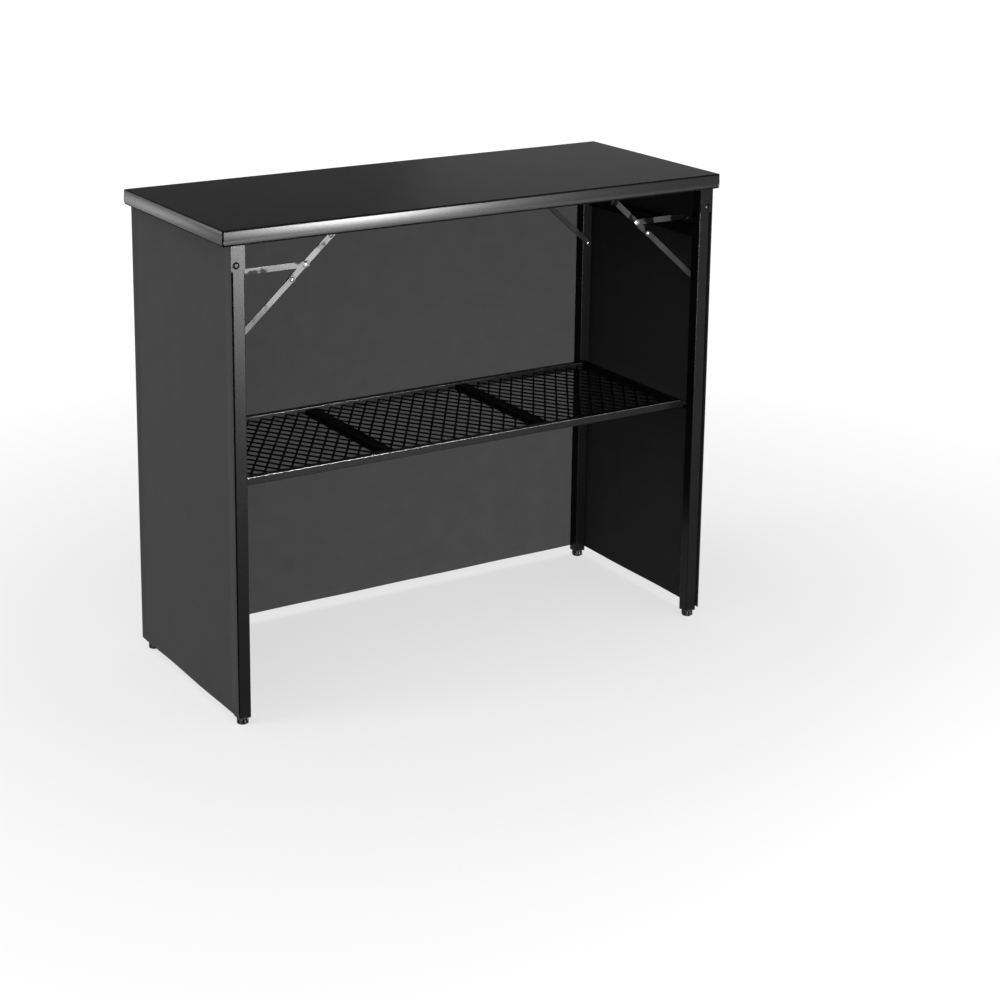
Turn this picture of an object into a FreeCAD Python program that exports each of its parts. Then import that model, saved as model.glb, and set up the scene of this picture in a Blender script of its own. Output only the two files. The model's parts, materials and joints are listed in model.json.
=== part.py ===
import FreeCAD, Part
import math
import os

# Folding bar counter. X is the width, +Y the back, +Z up, in millimetres. The origin is on the
# floor under the middle of the top. Every corner piece is shaped once for the back right corner
# and mirrored to the others.

# Overall size
width = 1143.0
depth = 457.2
height = 977.9

# Clearances used everywhere, the overrun of a cut, and the share of an edge's length that it has
# to run along an axis to count as straight
gap = 0.3
fit = 0.05
over = 5.0
straight_share = 0.99

# Top: a board inside four crowned edge bands with mitred corners
top_thickness = 25.4
band_thickness = 4.0
band_crown = 1.2

# Legs: square steel tube, hinged near the top
leg_tube = 25.4
leg_wall = 1.2
tube_corner = 2.0
leg_inset_x = 21.6
leg_inset_y = 6.0
pivot_drop = 42.5
pivot_offset = 6.0
leg_stub = 34.0

# Cross rail between the two legs of a frame
cross_rail_drop = 60.0
cross_rail_height = 25.0
cross_rail_width = 10.0

# Leg bracket: a steel channel under the top, open to the side
bracket_steel = 2.0
bracket_length = 54.0
bracket_overhang = 3.5
bracket_corner = 3.0
bracket_screw_spacing = 15.0

# Pivot bolt, its sleeve and its nut
bolt_radius = 3.0
bolt_head_radius = 7.0
bolt_head_height = 2.0
bolt_head_round = 0.8
sleeve_radius = 5.0
nut_across_flats = 10.0
nut_sides = 6
nut_height = 3.5

# Folding stays and latch: flat steel bars and rivets
bar_thickness = 2.5
bar_width = 12.0
bar_end = 8.0
bar_corner = 1.5
lower_stay_drop = 157.0
lower_stay_length = 165.5
stay_pivot_reach = 215.0
stay_pivot_rise = 28.0
stay_head_end = 12.5
latch_drop = 21.5
latch_slot = 7.0
latch_slot_lean = 25.0
rivet_radius = 3.0
rivet_head_radius = 5.0
rivet_head_height = 2.0
rivet_head_rim = 0.6
rivet_swing_gap = 1.3
stud_head_height = 1.7

# Bracket that holds the upper stay
stay_bracket_width = 40.0
stay_bracket_flange = 24.0
stay_ear_width = 14.0
stay_bracket_tail = 7.0
stay_pin_head = 1.0
stay_screw_spacing = 26.0

# Screws into the top
screw_radius = 2.25
screw_length = 14.0
screw_head_radius = 4.2
screw_head_height = 2.2

# Levelling feet and the plugs that hold them
foot_height = 13.2
foot_radius = 12.0
foot_round = 1.5
foot_neck_radius = 9.0
foot_neck_height = 2.5
foot_flutes = 8
foot_flute_radius = 2.0
foot_stem_radius = 4.0
foot_stem_length = 38.0
plug_flange = 2.0
plug_depth = 24.0

# Shelf: a tube frame with cross bars, mesh panels and corner hooks on studs
shelf_height = 483.0
shelf_side_gap = 15.6
shelf_rail = 16.0
shelf_wall = 1.2
shelf_corner = 1.5
cross_bar_width = 30.0
cross_bar_height = 12.0
cross_bar_position = 185.0
mesh_thickness = 2.0
mesh_recess = 6.0
mesh_border = 5.0
mesh_pitch_x = 29.0
mesh_pitch_y = 43.0
mesh_strand = 3.2
hook_thickness = 2.5
hook_height = 10.0
hook_reach = 20.0
hook_seat = 4.0
hook_lip = 9.0
hook_lip_width = 4.4
stud_inset = 7.0
stud_radius = 5.0
stud_pin_radius = 3.5
stud_shoulder_gap = 0.5

# Skirt: cloth panels on strips of hook tape under the top
cloth = 1.1
skirt_clear = 20.0
skirt_front_margin = 2.6
skirt_flap = 15.0
skirt_back_flap = 19.8
skirt_back_margin = 0.2
tape_thickness = 1.2
flap_end_gap = 5.0

# Places that follow from the sizes above
underside = height - top_thickness
leg_x = width / 2 - leg_inset_x - leg_tube / 2
leg_y = depth / 2 - leg_inset_y - leg_tube / 2
leg_in_x = leg_x - leg_tube / 2
leg_out_x = leg_x + leg_tube / 2
leg_in_y = leg_y - leg_tube / 2
leg_out_y = leg_y + leg_tube / 2
pivot_x = leg_x + pivot_offset
pivot_z = underside - pivot_drop
leg_bottom = foot_height + gap + plug_flange
ear_in = (leg_in_y - gap - bracket_steel, leg_in_y - gap)
ear_out = (leg_out_y + gap, leg_out_y + gap + bracket_steel)
bracket_x = (leg_in_x, leg_out_x + bracket_overhang)

# Layers of flat steel beside the leg, counted towards the middle of the bar
lower_layer = (ear_in[0] - gap - bar_thickness, ear_in[0] - gap)
upper_layer = (lower_layer[0] - gap - bar_thickness, lower_layer[0] - gap)
bracket_layer = (upper_layer[0] - gap - bracket_steel, upper_layer[0] - gap)

# Centres of the brace in the plane of the fold, as (x, z)
stay_foot = (leg_x, pivot_z - lower_stay_drop)
stay_head = (pivot_x - stay_pivot_reach, pivot_z + stay_pivot_rise)
latch_root = (leg_x, pivot_z - latch_drop)


def between(start, end, share):
    """The point that lies a share of the way from start to end."""
    return tuple(a + (b - a) * share for a, b in zip(start, end))


brace_length = math.dist(stay_foot, stay_head)
knee = between(stay_foot, stay_head, lower_stay_length / brace_length)
latch_share = (latch_root[1] - stay_foot[1]) / (stay_head[1] - stay_foot[1])
latch_stud = between(stay_foot, stay_head, latch_share)

# Shelf heights and the stud that each hook sits on
shelf_base = shelf_height - shelf_rail
shelf_end = leg_in_x
shelf_side = leg_in_y - shelf_side_gap
seat_height = shelf_base + hook_seat
stud_x = leg_in_x + stud_inset
stud_z = seat_height - gap - stud_pin_radius
mesh_top = shelf_height - mesh_recess

# Skirt planes
skirt_x = (bracket_x[1] + gap, bracket_x[1] + gap + cloth)
skirt_y = (depth / 2 - skirt_back_margin - cloth, depth / 2 - skirt_back_margin)
flap_z = (underside - tape_thickness - cloth, underside - tape_thickness)
back_flap_x = (-bracket_x[0] + flap_end_gap, bracket_x[0] - flap_end_gap)

sides = {"left": -1, "right": 1}
rows = {"front": -1, "back": 1}
corners = [(side, row) for side in sides for row in rows]


def vector(x=0.0, y=0.0, z=0.0):
    return FreeCAD.Vector(x, y, z)


def block(x, y, z):
    """A box between two limits along each axis."""
    return Part.makeBox(x[1] - x[0], y[1] - y[0], z[1] - z[0], vector(x[0], y[0], z[0]))


def rod(radius, y, centre):
    """A cylinder along Y between two limits, centred on (x, z)."""
    return Part.makeCylinder(radius, y[1] - y[0], vector(centre[0], y[0], centre[1]), vector(0, 1, 0))


def post(radius, z, centre):
    """A cylinder along Z between two limits, centred on (x, y)."""
    return Part.makeCylinder(radius, z[1] - z[0], vector(centre[0], centre[1], z[0]), vector(0, 0, 1))


def along(shape, axis):
    """The straight edges of a shape that run along one axis."""
    found = []
    for edge in shape.Edges:
        start, end = edge.Vertexes[0].Point, edge.Vertexes[-1].Point
        step = [abs(b - a) for a, b in zip(start, end)]
        if step[axis] > straight_share * edge.Length:
            found.append(edge)
    return found


def rounded(limits, axis, radius):
    """A box with the four edges along one axis rounded."""
    solid = block(*limits)
    return solid.makeFillet(radius, along(solid, axis))


def tube(limits, axis, wall, corner):
    """A square tube along one axis, open at both ends."""
    inner = []
    for number, (low, high) in enumerate(limits):
        inner.append((low - over, high + over) if number == axis else (low + wall, high - wall))
    return rounded(limits, axis, corner).cut(rounded(inner, axis, corner - wall))


def place(shape, side, row):
    """Mirror a piece of the back right corner to its own corner."""
    if sides[side] < 0:
        shape = shape.mirror(vector(), vector(1, 0, 0))
    if rows[row] < 0:
        shape = shape.mirror(vector(), vector(0, 1, 0))
    return shape


def group(shapes):
    return Part.makeCompound(shapes)


def four(shape):
    """The same piece at all four corners."""
    return group([place(shape, side, row) for side, row in corners])


def pair(shape, side):
    """The same piece at the front and back corners of one side."""
    return group([place(shape, side, row) for row in rows])


def flat_bar(start, end, layer, hole_at, far_end=bar_end):
    """A flat bar between two centres (x, z), with square ends past both and round holes."""
    length = math.dist(start, end)
    angle = math.degrees(math.atan2(end[1] - start[1], end[0] - start[0]))
    bar = rounded([(-bar_end, length + far_end), layer, (-bar_width / 2, bar_width / 2)], 1, bar_corner)
    bar.rotate(vector(), vector(0, 1, 0), -angle)
    bar.translate(vector(start[0], 0, start[1]))
    for centre in hole_at:
        bar = bar.cut(rod(rivet_radius + fit, (layer[0] - over, layer[1] + over), centre))
    return bar


def pan_screw(centre, z):
    """A screw with a low round head whose seat is at z, pointing up into the top."""
    head = post(screw_head_radius, (z - screw_head_height, z), centre)
    return head.fuse(post(screw_radius, (z, z + screw_length), centre))


def flush_screw(centre, z):
    """A countersunk screw whose flat head is level with z, pointing up into the top."""
    cone = Part.makeCone(screw_head_radius, screw_radius, bracket_steel,
                         vector(centre[0], centre[1], z), vector(0, 0, 1))
    return cone.fuse(post(screw_radius, (z, z + screw_length), centre))


# Screw places in the back right corner
bracket_screw_at = [((bracket_x[0] + bracket_x[1]) / 2, leg_y + step * bracket_screw_spacing / 2)
                    for step in (-1, 1)]
stay_flange_y = (bracket_layer[1] - stay_bracket_flange, bracket_layer[1])
stay_screw_at = [(stay_head[0] + step * stay_screw_spacing / 2,
                  stay_flange_y[0] + stay_bracket_flange / 2 - bracket_steel) for step in (-1, 1)]


def top_panel():
    board = block((-width / 2 + band_thickness, width / 2 - band_thickness),
                  (-depth / 2 + band_thickness, depth / 2 - band_thickness), (underside, height))
    deep = (underside - over, underside + screw_length)
    holes = [four(post(screw_radius + fit, deep, centre)) for centre in bracket_screw_at + stay_screw_at]
    return board.cut(holes)


def edge_band(length, reach):
    """A crowned band on the +Y side, mitred at both ends."""
    inner, shoulder = reach - band_thickness, reach - band_crown
    start = -length / 2
    corner = [vector(start, inner, underside), vector(start, shoulder, underside),
              vector(start, reach, underside + top_thickness / 2),
              vector(start, shoulder, height), vector(start, inner, height)]
    outline = [Part.LineSegment(corner[0], corner[1]).toShape(),
               Part.Arc(corner[1], corner[2], corner[3]).toShape(),
               Part.LineSegment(corner[3], corner[4]).toShape(),
               Part.LineSegment(corner[4], corner[0]).toShape()]
    band = Part.Face(Part.Wire(outline)).extrude(vector(length, 0, 0))
    half, low = length / 2, underside - over
    mitre = Part.makePolygon([vector(-half, reach, low), vector(half, reach, low),
                              vector(half - band_thickness, inner, low),
                              vector(-half + band_thickness, inner, low), vector(-half, reach, low)])
    return band.common(Part.Face(mitre).extrude(vector(0, 0, top_thickness + 2 * over)))


def turned(shape, angle):
    shape.rotate(vector(), vector(0, 0, 1), angle)
    return shape


def rivet_relief():
    """What comes off the inner ear so that the latch's rivet can swing past it."""
    swing = math.dist((pivot_x, pivot_z), latch_root)
    clear = swing - rivet_head_radius - rivet_swing_gap
    y = (ear_in[0] - over, ear_in[1] + fit)
    low = underside - bracket_length - over
    edge = block((bracket_x[0] - over, pivot_x - clear), y, (low, underside - bracket_steel))
    corner = block((bracket_x[0] - over, pivot_x), y, (low, pivot_z))
    return edge.fuse(corner.cut(rod(clear, y, (pivot_x, pivot_z))))


def leg_bracket():
    """An inverted channel: a web under the top and one ear on each side of the leg."""
    z = (underside - bracket_length, underside)
    outer = block(bracket_x, (ear_in[0], ear_out[1]), z)
    low_edges = [edge for edge in along(outer, 1) if edge.Vertexes[0].Z < underside - over]
    outer = outer.makeFillet(bracket_corner, low_edges)
    channel = block((bracket_x[0] - over, bracket_x[1] + over), (ear_in[1], ear_out[0]),
                    (z[0] - over, underside - bracket_steel))
    shape = outer.cut(channel).cut(rivet_relief())
    shape = shape.cut(rod(bolt_radius + fit, (ear_in[0] - over, ear_out[1] + over), (pivot_x, pivot_z)))
    seat = underside - bracket_steel
    for centre in bracket_screw_at:
        sink = Part.makeCone(screw_head_radius + fit, screw_radius + fit, bracket_steel,
                             vector(centre[0], centre[1], seat), vector(0, 0, 1))
        shape = shape.cut(sink.fuse(post(screw_radius + fit, (seat, underside + over), centre)))
    return shape


def stay_bracket():
    """An angle under the top: a flange with two screws and an ear that carries the upper stay."""
    x, ear_x = [(stay_head[0] - wide / 2, stay_head[0] + wide / 2)
                for wide in (stay_bracket_width, stay_ear_width)]
    flange = block(x, stay_flange_y, (underside - bracket_steel, underside))
    ear = block(ear_x, bracket_layer, (stay_head[1] - stay_bracket_tail, underside))
    low_edges = [edge for edge in along(ear, 1) if edge.Vertexes[0].Z < stay_head[1]]
    shape = flange.fuse(ear.makeFillet(bracket_corner, low_edges)).removeSplitter()
    through = (bracket_layer[0] - over, bracket_layer[1] + over)
    shape = shape.cut(rod(rivet_radius + fit, through, stay_head))
    for centre in stay_screw_at:
        shape = shape.cut(post(screw_radius + fit, (stay_head[1], underside + over), centre))
    return shape


def pivot_bolt():
    """A round-headed bolt with its shank end level with the nut."""
    head = rod(bolt_head_radius, (ear_out[1], ear_out[1] + bolt_head_height), (pivot_x, pivot_z))
    rim = [edge for edge in head.Edges if edge.Vertexes[0].Y > ear_out[1] + bolt_head_height / 2
           and edge.Closed]
    head = head.makeFillet(bolt_head_round, rim)
    return head.fuse(rod(bolt_radius, (ear_in[0] - nut_height, ear_out[1]), (pivot_x, pivot_z)))


def pivot_nut():
    radius = nut_across_flats / 2 / math.cos(math.pi / nut_sides)
    angles = [2 * math.pi * count / nut_sides for count in range(nut_sides + 1)]
    points = [vector(pivot_x + radius * math.cos(a), ear_in[0], pivot_z + radius * math.sin(a))
              for a in angles]
    nut = Part.Face(Part.makePolygon(points)).extrude(vector(0, -nut_height, 0))
    return nut.cut(rod(bolt_radius + fit, (ear_in[0] - nut_height - over, ear_in[0] + over),
                       (pivot_x, pivot_z)))


def stay_pin():
    """The rivet at the upper stay's head, fixed in its bracket."""
    head = (upper_layer[1] + fit, upper_layer[1] + fit + stay_pin_head)
    tail = (bracket_layer[0] - rivet_head_height, bracket_layer[0])
    return rivet(stay_head, head, tail)


def domed_head(y, centre, outward):
    """A rivet head with a low rim, domed on the side that faces outward (1 or -1) along Y."""
    rise = y[1] - y[0] - rivet_head_rim
    ball = (rivet_head_radius ** 2 + rise ** 2) / (2 * rise)
    middle = y[1] - ball if outward > 0 else y[0] + ball
    dome = Part.makeSphere(ball, vector(centre[0], middle, centre[1]), vector(0, 1, 0))
    return rod(rivet_head_radius, y, centre).common(dome)


def rivet(centre, head, tail):
    """A round rivet between two limits for each domed end."""
    shank = (min(head[0], tail[0]) + rivet_head_rim, max(head[1], tail[1]) - rivet_head_rim)
    outward = 1 if head[0] > tail[0] else -1
    cap = domed_head(head, centre, outward)
    foot = domed_head(tail, centre, -outward)
    return cap.fuse([foot, rod(rivet_radius, shank, centre)]).removeSplitter()


def leg():
    limits = [(leg_in_x, leg_out_x), (leg_in_y, leg_out_y), (leg_bottom, pivot_z + leg_stub)]
    shape = tube(limits, 2, leg_wall, tube_corner)
    through = (leg_in_y - over, leg_out_y + over)
    inner_wall = (leg_in_y - over, leg_in_y + leg_wall + over / 2)
    shape = shape.cut(rod(bolt_radius + fit, through, (pivot_x, pivot_z)))
    for centre in (stay_foot, latch_root, (stud_x, stud_z)):
        shape = shape.cut(rod(rivet_radius + fit, inner_wall, centre))
    return shape


def cross_rail():
    """The low-profile tube that ties the front leg to the back leg under the pivots."""
    middle = pivot_z - cross_rail_drop
    limits = [(leg_out_x - cross_rail_width, leg_out_x), (-leg_in_y, leg_in_y),
              (middle - cross_rail_height / 2, middle + cross_rail_height / 2)]
    return tube(limits, 1, leg_wall, tube_corner)


def pivot_sleeve():
    """The spacer inside the leg tube round the pivot bolt."""
    y = (leg_in_y + leg_wall, leg_out_y - leg_wall)
    outer = rod(sleeve_radius, y, (pivot_x, pivot_z))
    return outer.cut(rod(bolt_radius + fit, (y[0] - over, y[1] + over), (pivot_x, pivot_z)))


def leg_rivet(centre):
    """A shouldered rivet in the leg's inner wall that carries a bar in the lower layer."""
    inside = leg_in_y + leg_wall
    shape = rivet(centre, (lower_layer[0] - fit - rivet_head_height, lower_layer[0] - fit),
                  (inside, inside + rivet_head_height))
    return shape.fuse(rod(rivet_head_radius, (lower_layer[1] + fit, leg_in_y), centre)).removeSplitter()


def shelf_stud():
    """A shouldered stud that a shelf hook drops over."""
    centre = (stud_x, stud_z)
    hook_face = shelf_side + hook_thickness
    inside = leg_in_y + leg_wall
    shape = rod(stud_radius, (hook_face + stud_shoulder_gap, leg_in_y), centre)
    shape = shape.fuse(rod(stud_pin_radius, (shelf_side + gap, hook_face + stud_shoulder_gap), centre))
    shape = shape.fuse(rod(rivet_radius, (leg_in_y, inside), centre))
    return shape.fuse(rod(rivet_head_radius, (inside, inside + rivet_head_height), centre))


def leg_plug():
    """The square plug in the leg's lower end, with a flange and a hole for the foot's stem."""
    half = leg_tube / 2
    flange = rounded([(leg_in_x, leg_out_x), (leg_y - half, leg_y + half),
                      (leg_bottom - plug_flange, leg_bottom)], 2, tube_corner)
    core = rounded([(leg_in_x + leg_wall, leg_out_x - leg_wall),
                    (leg_in_y + leg_wall, leg_out_y - leg_wall),
                    (leg_bottom, leg_bottom + plug_depth)], 2, tube_corner - leg_wall)
    bore = post(foot_stem_radius + fit, (0, leg_bottom + plug_depth + over), (leg_x, leg_y))
    return flange.fuse(core).cut(bore)


def levelling_foot():
    """A fluted round foot on a stem."""
    pad_top = foot_height - foot_neck_height
    pad = post(foot_radius, (0, pad_top), (leg_x, leg_y))
    pad = pad.makeFillet(foot_round, [edge for edge in pad.Edges if edge.Closed])
    flutes = []
    for count in range(foot_flutes):
        angle = 2 * math.pi * count / foot_flutes
        centre = (leg_x + foot_radius * math.cos(angle), leg_y + foot_radius * math.sin(angle))
        flutes.append(post(foot_flute_radius, (foot_round, pad_top + over), centre))
    pad = pad.cut(flutes)
    neck = post(foot_neck_radius, (pad_top - foot_round, foot_height), (leg_x, leg_y))
    stem_z = (foot_height - foot_round, foot_height + foot_stem_length)
    stem = post(foot_stem_radius, stem_z, (leg_x, leg_y))
    return pad.fuse([neck, stem])


def upper_stay():
    return flat_bar(knee, stay_head, upper_layer, [knee, latch_stud, stay_head], stay_head_end)


def upper_stay_rivets():
    """The stud that the latch hooks over, and the back half of the knee rivet."""
    tail = (upper_layer[0] - rivet_head_height, upper_layer[0])
    head = (lower_layer[1] + gap, lower_layer[1] + gap + stud_head_height)
    half_knee = domed_head(tail, knee, -1).fuse(rod(rivet_radius, upper_layer, knee))
    return [rivet(latch_stud, head, tail), half_knee]


def lower_stay():
    return flat_bar(stay_foot, knee, lower_layer, [stay_foot, knee])


def knee_rivet():
    """The front half of the knee rivet, fixed in the lower stay."""
    head = (lower_layer[1], lower_layer[1] + rivet_head_height)
    return domed_head(head, knee, 1).fuse(rod(rivet_radius, lower_layer, knee))


def latch():
    """The level bar that hooks over the stud on the upper stay through a slot in its lower edge."""
    shape = flat_bar(latch_root, latch_stud, lower_layer, [latch_root])
    reach = (lower_layer[0] - over, lower_layer[1] + over)
    slot = block((-latch_slot / 2, latch_slot / 2), reach, (-bar_width, 0))
    slot = slot.fuse(rod(latch_slot / 2, reach, (0, 0)))
    slot.rotate(vector(), vector(0, 1, 0), latch_slot_lean)
    slot.translate(vector(latch_stud[0], 0, latch_stud[1]))
    return shape.cut(slot)


def shelf_rail_long():
    limits = [(-shelf_end, shelf_end), (shelf_side - shelf_rail, shelf_side), (shelf_base, shelf_height)]
    return tube(limits, 0, shelf_wall, shelf_corner)


def shelf_rail_end():
    inside = shelf_side - shelf_rail
    limits = [(shelf_end - shelf_rail, shelf_end), (-inside, inside), (shelf_base, shelf_height)]
    return tube(limits, 1, shelf_wall, shelf_corner)


def cross_bar(centre):
    inside = shelf_side - shelf_rail
    limits = [(centre - cross_bar_width / 2, centre + cross_bar_width / 2), (-inside, inside),
              (shelf_base, shelf_base + cross_bar_height)]
    return tube(limits, 1, shelf_wall, shelf_corner)


def mesh_panel(low, high):
    """A flat panel with long diamond holes in rows, set back from its border. A hole is a cell of
    the pattern less half a strand on each side."""
    inside = shelf_side - shelf_rail
    base = mesh_top - mesh_thickness
    corner = [(low, -inside), (high, -inside), (high, inside), (low, inside), (low, -inside)]
    wires = [Part.makePolygon([vector(x, y, base) for x, y in corner])]
    step_x, step_y = mesh_pitch_x / 2, mesh_pitch_y / 2
    side_distance = step_x * step_y / math.hypot(step_x, step_y)
    open_share = 1 - mesh_strand / 2 / side_distance
    half_x, half_y = step_x * open_share, step_y * open_share
    count_x = int(((high - low) / 2 - mesh_border - half_x) // step_x)
    count_y = int((inside - mesh_border - half_y) // step_y)
    middle = (low + high) / 2
    for column in range(-count_x, count_x + 1):
        for row in range(-count_y, count_y + 1):
            if (column + row) % 2:
                continue
            x, y = middle + column * step_x, row * step_y
            tips = [(x - half_x, y), (x, y - half_y), (x + half_x, y), (x, y + half_y), (x - half_x, y)]
            wires.append(Part.makePolygon([vector(a, b, base) for a, b in tips]))
    face = Part.makeFace(wires, "Part::FaceMakerBullseye")
    return face.extrude(vector(0, 0, mesh_thickness))


def shelf_hook():
    """A plate on the end of a long rail: it sits on the stud and its lip keeps the shelf in line."""
    y = (shelf_side, shelf_side + hook_thickness)
    lip_in = stud_x + stud_pin_radius + gap
    lip_out = lip_in + hook_lip_width
    step_x = stud_x - stud_pin_radius - fit * 2
    strap_base = seat_height + hook_seat
    outline = [(shelf_end - hook_reach, strap_base), (step_x, strap_base), (step_x, seat_height),
               (lip_in, seat_height), (lip_in, seat_height - hook_lip), (lip_out, seat_height - hook_lip),
               (lip_out, seat_height + hook_height), (shelf_end - hook_reach, seat_height + hook_height)]
    points = [vector(x, y[0], z) for x, z in outline + outline[:1]]
    return Part.Face(Part.makePolygon(points)).extrude(vector(0, hook_thickness, 0))


def skirt_side():
    """A side panel that turns outwards into a flap under the top."""
    panel = block(skirt_x, (-depth / 2 + skirt_front_margin, skirt_y[1]), (skirt_clear, flap_z[1]))
    flap = block((skirt_x[0], skirt_x[0] + skirt_flap),
                 (-depth / 2 + skirt_front_margin, skirt_y[1]), flap_z)
    return panel.fuse(flap).removeSplitter()


def skirt_back():
    """The back panel, with a flap that turns inwards between the leg brackets."""
    panel = block((-skirt_x[0], skirt_x[0]), skirt_y, (skirt_clear, flap_z[1]))
    flap = block(back_flap_x, (skirt_y[1] - skirt_back_flap, skirt_y[1]), flap_z)
    return panel.fuse(flap).removeSplitter()


def skirt_tapes():
    """The hook strips that hold the skirt's flaps."""
    z = (flap_z[1], underside)
    y = (-depth / 2 + skirt_front_margin, skirt_y[1])
    side_strip = block((skirt_x[0], skirt_x[0] + skirt_flap), y, z)
    back_strip = block(back_flap_x, (skirt_y[1] - skirt_back_flap, skirt_y[1]), z)
    return group([side_strip, side_strip.mirror(vector(), vector(1, 0, 0)), back_strip])


def build():
    """Every node by name."""
    nodes = {"top_panel": top_panel()}
    nodes["edge_back"] = edge_band(width, depth / 2)
    nodes["edge_front"] = turned(edge_band(width, depth / 2), 180)
    nodes["edge_left"] = turned(edge_band(depth, width / 2), 90)
    nodes["edge_right"] = turned(edge_band(depth, width / 2), -90)
    nodes["stay_brackets"] = four(stay_bracket())
    screws = [four(flush_screw(centre, underside - bracket_steel)) for centre in bracket_screw_at]
    screws += [four(pan_screw(centre, underside - bracket_steel)) for centre in stay_screw_at]
    nodes["bracket_screws"] = group([solid for some in screws for solid in some.Solids])
    nodes["pivot_bolts"] = group([place(shape, side, row) for side, row in corners
                                  for shape in (pivot_bolt(), pivot_nut())])
    nodes["stay_pins"] = four(stay_pin())
    nodes["skirt_right"] = skirt_side()
    nodes["skirt_left"] = skirt_side().mirror(vector(), vector(1, 0, 0))
    nodes["skirt_back"] = skirt_back()
    nodes["skirt_tapes"] = skirt_tapes()
    for side, row in corners:
        corner = f"{row}_{side}"
        nodes[f"leg_bracket_{corner}"] = place(leg_bracket(), side, row)
        nodes[f"leg_{corner}"] = place(leg(), side, row)
        nodes[f"upper_stay_{corner}"] = place(upper_stay(), side, row)
        nodes[f"lower_stay_{corner}"] = place(lower_stay(), side, row)
        nodes[f"latch_{corner}"] = place(latch(), side, row)
        nodes[f"foot_{corner}"] = place(levelling_foot(), side, row)
    for side in sides:
        nodes[f"cross_rail_{side}"] = place(cross_rail(), side, "back")
        nodes[f"pivot_sleeves_{side}"] = pair(pivot_sleeve(), side)
        nodes[f"leg_plugs_{side}"] = pair(leg_plug(), side)
        nodes[f"shelf_studs_{side}"] = pair(shelf_stud(), side)
        rivets = [pair(leg_rivet(centre), side) for centre in (stay_foot, latch_root)]
        nodes[f"leg_rivets_{side}"] = group([solid for some in rivets for solid in some.Solids])
        studs = [pair(shape, side) for shape in upper_stay_rivets()]
        nodes[f"upper_stay_rivets_{side}"] = group([solid for some in studs for solid in some.Solids])
        nodes[f"knee_rivets_{side}"] = pair(knee_rivet(), side)
        nodes[f"shelf_rail_{side}"] = place(shelf_rail_end(), side, "back")
    nodes["shelf_rail_back"] = shelf_rail_long()
    nodes["shelf_rail_front"] = place(shelf_rail_long(), "right", "front")
    nodes["shelf_cross_bars"] = group([cross_bar(-cross_bar_position), cross_bar(cross_bar_position)])
    end, bar = shelf_end - shelf_rail, cross_bar_width / 2
    nodes["shelf_mesh_left"] = mesh_panel(-end, -cross_bar_position - bar)
    nodes["shelf_mesh_middle"] = mesh_panel(-cross_bar_position + bar, cross_bar_position - bar)
    nodes["shelf_mesh_right"] = mesh_panel(cross_bar_position + bar, end)
    nodes["shelf_hooks"] = four(shelf_hook())
    return nodes


os.makedirs("parts", exist_ok=True)
for name, shape in build().items():
    shape.exportStep(os.path.join("parts", name + ".step"))
    state = "valid" if shape.isValid() else "INVALID"
    print(name, len(shape.Solids), "solids", round(shape.Volume), "mm3", state)
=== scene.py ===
import json
import math

import bmesh
import bpy
import numpy as np
from mathutils import Matrix, Vector

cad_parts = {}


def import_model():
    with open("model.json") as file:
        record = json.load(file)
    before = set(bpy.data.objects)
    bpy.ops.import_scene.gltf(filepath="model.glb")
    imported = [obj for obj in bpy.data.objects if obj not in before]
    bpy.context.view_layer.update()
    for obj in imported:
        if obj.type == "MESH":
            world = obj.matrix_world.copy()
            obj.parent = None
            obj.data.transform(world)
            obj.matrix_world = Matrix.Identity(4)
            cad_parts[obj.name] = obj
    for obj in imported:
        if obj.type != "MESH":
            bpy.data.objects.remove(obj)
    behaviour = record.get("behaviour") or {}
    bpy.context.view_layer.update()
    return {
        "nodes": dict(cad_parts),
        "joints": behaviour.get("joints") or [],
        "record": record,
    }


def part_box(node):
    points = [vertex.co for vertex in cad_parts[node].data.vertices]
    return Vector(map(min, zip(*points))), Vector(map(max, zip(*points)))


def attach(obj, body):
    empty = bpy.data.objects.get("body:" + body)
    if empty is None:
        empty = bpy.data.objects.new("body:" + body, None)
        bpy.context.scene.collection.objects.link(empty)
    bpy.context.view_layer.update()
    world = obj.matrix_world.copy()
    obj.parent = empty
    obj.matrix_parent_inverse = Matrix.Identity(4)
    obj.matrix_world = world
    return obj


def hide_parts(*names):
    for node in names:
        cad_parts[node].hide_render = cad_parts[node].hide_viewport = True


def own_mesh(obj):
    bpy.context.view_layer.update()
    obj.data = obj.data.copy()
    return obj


# Looks of the folding bar counter. X is the width, +Y the back and +Z up, in metres, as in the
# frame. Sizes are written in millimetres and turned to metres by mm.
mm = 0.001

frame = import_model()
nodes = frame["nodes"]
joint_place = {joint["name"]: joint.get("pos_m", (0, 0, 0)) for joint in frame["joints"]}
body_of = {node: body for body, members in frame["record"]["behaviour"]["bodies"].items()
           for node in members}
sides = {"left": -1, "right": 1}
rows = {"front": -1, "back": 1}
corners = [(side, row) for side in sides for row in rows]

# The view that the reference picture was taken from, in metres and radians. Pixels are of its
# 1000 by 1000 frame.
camera_place = (-2.198113, -3.674143, 1.806226)
camera_azimuth = -0.539
camera_elevation = 0.232
camera_roll = 0.005
picture_pixels = 1000
focal_pixels = 2142.357
centre_pixel = (427.598, 268.913)
sensor_mm = 36.0

# The floor's own light, near the bar and far from it: dimmer near the bar, a painted soft shadow around
# it
floor_near = 0.8
floor_far = 2.6
glow_near_painted_shadow = 0.61
glow_far = 0.86
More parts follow.
